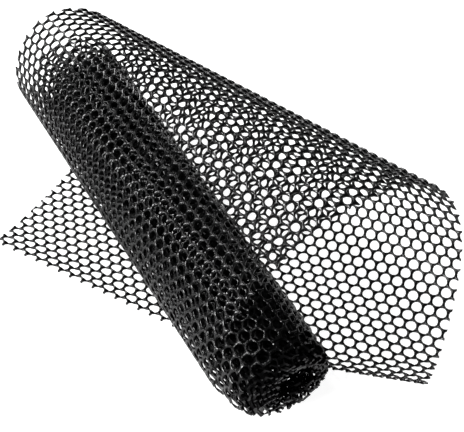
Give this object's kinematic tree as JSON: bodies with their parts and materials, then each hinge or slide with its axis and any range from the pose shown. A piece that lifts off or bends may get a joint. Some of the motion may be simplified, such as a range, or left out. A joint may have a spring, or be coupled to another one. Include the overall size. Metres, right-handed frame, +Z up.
{
  "type": "bird netting roll",
  "caption": "Strip of black plastic hexagonal netting, partly unrolled: the flat end, a wide loop and the wound roll that rests on the flat end.",
  "frame": {"origin": "centre of the bounding box, on the ground", "axes": "+Y along the roll from its stepped near end, +X towards the loop, +Z up"},
  "size_m": [0.3441, 0.4936, 0.1622],
  "materials": {
    "black_netting": "matt black extruded polyethylene with a faint sheen"
  },
  "bodies": {
    "root": {"loose_net": "black_netting", "wound_roll": "black_netting"}
  },
  "joints": []
}
